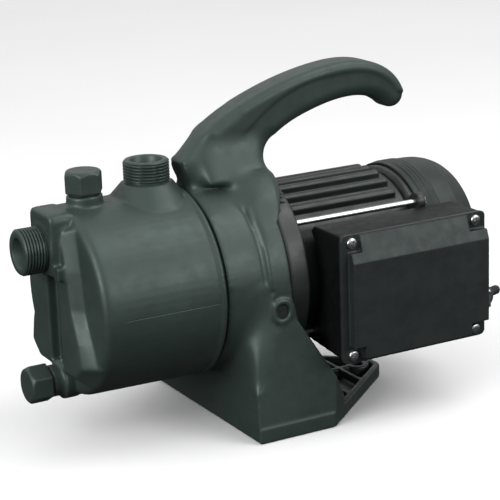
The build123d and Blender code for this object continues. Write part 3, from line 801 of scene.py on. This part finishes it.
class PUMP_OT_plugs(bpy.types.Operator):
    """Priming plug on the casing's top and drain plug on its front"""

    bl_idname = "pump.plugs"
    bl_label = "Plugs"

    def execute(self, context):
        sizes = context.scene.pump_sizes
        for node, body in (("priming_plug", "priming_cap"), ("drain_plug", "drain_cap")):
            plug = node_copy(node, node + "_moulding")
            round_over(plug, sizes.small_cell, sizes.edge_rounds + 12)
            hand_over(plug, body, "moulding", node)
        return {"FINISHED"}


class PUMP_OT_motor(bpy.types.Operator):
    """Finned motor frame, its two end bells and the fan cover"""

    bl_idname = "pump.motor"
    bl_label = "Motor"

    def execute(self, context):
        sizes = context.scene.pump_sizes
        castings = (
            ("stator_frame", "finned_frame", "motor_paint", 6),
            ("motor_front_endbell", "front_end_bell", "motor_paint", 3),
            ("motor_rear_endbell", "rear_end_bell", "motor_paint", 3),
            ("fan_cover", "fan_cowl", "cover_plastic", 1),
        )
        for node, piece_name, slot, rounds in castings:
            casting = node_copy(node, piece_name)
            round_over(casting, sizes.casting_cell, rounds)
            hand_over(casting, "pump", slot, node)
        return {"FINISHED"}


# Switch box
screw_head_radius = 4.0 * MM
screw_head_height = 2.6 * MM


def cross_recess(name, place):
    """Solid that cuts a cross recess: two tapered bars."""
    form = bmesh.new()
    for turn in (0.0, math.pi / 2):
        bar = bmesh.ops.create_cube(form, size=1.0)["verts"]
        for vertex in bar:
            taper = 1.0 if vertex.co.z > 0 else 0.55
            length, width, height = 4.6 * MM * taper, 0.9 * MM, 3.2 * MM
            vertex.co = Vector((vertex.co.x * length, vertex.co.y * width, vertex.co.z * height))
            vertex.co = Matrix.Rotation(turn, 3, "Z") @ vertex.co
            vertex.co = place @ (vertex.co + Vector((0, 0, 2.2 * MM)))
    mesh = bpy.data.meshes.new(name)
    form.to_mesh(mesh)
    form.free()
    return add_piece(name, mesh)


def pan_head_screw(name, place):
    """Pan head with a cross recess, its seat at the zero of place."""
    profile = [(-2.0 * MM, 1.9 * MM), (0.0, 1.9 * MM), (0.0, screw_head_radius)]
    for k in range(7):
        angle = math.pi / 2 * k / 7
        profile.append((1.0 * MM + 1.4 * MM * math.sin(angle), 2.2 * MM + 1.8 * MM * math.cos(angle)))
    profile.append((2.5 * MM, 1.0 * MM))
    screw = lathe(name, profile, place, 40)
    cutter = cross_recess(name + "_cutter", place)
    cut = screw.modifiers.new("Recess", "BOOLEAN")
    cut.operation = "DIFFERENCE"
    cut.solver = "EXACT"
    cut.use_self = True
    cut.object = cutter
    settle(screw)
    bpy.data.objects.remove(cutter)
    screw.data.set_sharp_from_angle(angle=math.radians(40))
    return screw


class PUMP_OT_switch_box(bpy.types.Operator):
    """Switch box on the motor's side, with its lid, screws, gland and toggle boot"""

    bl_idname = "pump.switch_box"
    bl_label = "Switch Box"

    def execute(self, context):
        sizes = context.scene.pump_sizes
        box = node_copy("terminal_box", "box_moulding")
        round_over(box, sizes.casting_cell, 2)
        hand_over(box, "pump", "black_plastic", "terminal_box")
        lid = node_copy("terminal_box_lid", "lid_moulding")
        round_over(lid, sizes.small_cell, 4)
        hand_over(lid, "pump", "lid_plastic", "terminal_box_lid")
        gland = node_copy("cord_bushing", "cord_gland")
        round_over(gland, sizes.small_cell, 3)
        hand_over(gland, "pump", "rubber", "cord_bushing")
        boot = node_copy("toggle_boot", "toggle_boot_rubber")
        round_over(boot, sizes.small_cell, 3)
        hand_over(boot, "toggle", "rubber", "toggle_boot")
        low, high = node_box("lid_screws")
        seat = low.y + screw_head_height
        facing = Matrix.Rotation(math.pi / 2, 4, "X")
        corner = 0
        for x in (low.x + screw_head_radius, high.x - screw_head_radius):
            for z in (low.z + screw_head_radius, high.z - screw_head_radius):
                turned = Matrix.Rotation(0.4 + corner * 0.9, 4, "Z")
                place = Matrix.Translation((x, seat, z)) @ facing @ turned
                screw = pan_head_screw(f"lid_screw_{corner + 1}", place)
                hand_over(screw, "pump", "zinc_steel", *(("lid_screws",) if corner == 0 else ()))
                corner += 1
        return {"FINISHED"}


class PUMP_OT_inner_pieces(bpy.types.Operator):
    """Finishes of the pieces that keep their own shape"""

    bl_idname = "pump.inner_pieces"
    bl_label = "Inner Pieces"

    def execute(self, context):
        for name, slot in SLOT_OF_NODE.items():
            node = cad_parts[name]
            node.data.materials.clear()
            node.data.materials.append(finishes[slot])
        return {"FINISHED"}


# Stage
def soft_light(name, place, target, power, width, height):
    lamp = bpy.data.lights.new(name, "AREA")
    lamp.shape = "RECTANGLE"
    lamp.energy = power
    lamp.size = width
    lamp.size_y = height
    light = bpy.data.objects.new(name, lamp)
    bpy.context.scene.collection.objects.link(light)
    light.location = place
    light.rotation_euler = (Vector(target) - Vector(place)).to_track_quat("-Z", "Y").to_euler()


class PUMP_OT_stage(bpy.types.Operator):
    """Pale floor, soft lights and the camera"""

    bl_idname = "pump.stage"
    bl_label = "Stage"

    def shade_sky(self, tree, level):
        """Bright overhead and dim below the horizon, so that undersides stay dark."""
        direction = tree.nodes.new("ShaderNodeTexCoord").outputs["Generated"]
        split = tree.nodes.new("ShaderNodeSeparateXYZ")
        rise = tree.nodes.new("ShaderNodeMapRange")
        tree.links.new(direction, split.inputs["Vector"])
        tree.links.new(split.outputs["Z"], rise.inputs["Value"])
        steps = {"From Min": -0.2, "From Max": 0.5, "To Min": 0.04 * level, "To Max": level}
        for key, value in steps.items():
            rise.inputs[key].default_value = value
        tree.links.new(rise.outputs["Result"], tree.nodes["Background"].inputs["Strength"])
        tree.nodes["Background"].inputs["Color"].default_value = (1.0, 1.0, 1.0, 1.0)

    def execute(self, context):
        settings = context.scene.pump_stage
        form = bmesh.new()
        bmesh.ops.create_grid(form, x_segments=1, y_segments=1, size=6.0)
        mesh = bpy.data.meshes.new("floor")
        form.to_mesh(mesh)
        form.free()
        floor = add_piece("floor", mesh)
        floor.location.z = floor_height - 0.2 * MM
        floor.visible_diffuse = False
        floor.visible_glossy = False
        pale = Finish("Pale floor", 0.7, specular=0.1)
        tone = pale.spread(pale.noise(3.0), 0.0, 1.0)
        pale.base(pale.colours(tone, (0.93, 0.93, 0.93), (0.95, 0.95, 0.95)))
        floor.data.materials.append(pale.material)

        world = bpy.data.worlds.new("Surroundings")
        context.scene.world = world
        world.use_nodes = True
        self.shade_sky(world.node_tree, settings.world_level)

        middle = Vector(settings.target)
        soft_light("key", (0.95, -1.65, 0.85), middle, settings.key_power, 1.3, 0.7)
        soft_light("fill", (-1.7, -0.6, 0.8), middle, settings.fill_power, 1.0, 1.0)
        soft_light("top", (0.75, -0.5, 1.6), middle, settings.top_power, 1.0, 1.0)

        back = Vector((
            math.sin(settings.yaw) * math.cos(settings.pitch),
            -math.cos(settings.yaw) * math.cos(settings.pitch),
            math.sin(settings.pitch),
        ))
        right = Vector((math.cos(settings.yaw), math.sin(settings.yaw), 0))
        up = back.cross(right)
        turn = Matrix.Rotation(settings.roll, 3, back)
        right = turn @ right
        up = turn @ up
        camera = bpy.data.objects.new("camera", bpy.data.cameras.new("camera"))
        context.scene.collection.objects.link(camera)
        camera.data.lens = settings.lens
        camera.data.sensor_width = 36.0
        camera.data.clip_end = 20.0
        axes = Matrix((right, up, back)).transposed().to_4x4()
        camera.matrix_world = Matrix.Translation(middle + back * settings.distance) @ axes
        context.scene.camera = camera
        context.scene.view_settings.view_transform = "Standard"
        return {"FINISHED"}


class PUMP_PT_panel(bpy.types.Panel):
    """Pump pieces and settings"""

    bl_label = "Jet Pump"
    bl_idname = "PUMP_PT_panel"
    bl_space_type = "VIEW_3D"
    bl_region_type = "UI"
    bl_category = "Pump"

    def draw(self, context):
        for group in (context.scene.pump_sizes, context.scene.pump_finishes, context.scene.pump_stage):
            box = self.layout.box()
            for name in group.__annotations__:
                box.prop(group, name)
        for operator in OPERATORS:
            self.layout.operator(operator.bl_idname)


OPERATORS = (
    PUMP_OT_stage,
    PUMP_OT_casing,
    PUMP_OT_bracket,
    PUMP_OT_plugs,
    PUMP_OT_motor,
    PUMP_OT_switch_box,
    PUMP_OT_inner_pieces,
)
CLASSES = (PumpSizes, PumpFinishes, PumpStage, *OPERATORS, PUMP_PT_panel)


def register():
    for cls in CLASSES:
        bpy.utils.register_class(cls)
    bpy.types.Scene.pump_sizes = bpy.props.PointerProperty(type=PumpSizes)
    bpy.types.Scene.pump_finishes = bpy.props.PointerProperty(type=PumpFinishes)
    bpy.types.Scene.pump_stage = bpy.props.PointerProperty(type=PumpStage)


def unregister():
    del bpy.types.Scene.pump_stage
    del bpy.types.Scene.pump_finishes
    del bpy.types.Scene.pump_sizes
    for cls in reversed(CLASSES):
        bpy.utils.unregister_class(cls)


def main():
    register()
    finishes.update(make_finishes())
    bpy.ops.pump.stage()
    bpy.ops.pump.casing()
    bpy.ops.pump.bracket()
    bpy.ops.pump.plugs()
    bpy.ops.pump.motor()
    bpy.ops.pump.switch_box()
    bpy.ops.pump.inner_pieces()


if __name__ == "__main__":
    main()
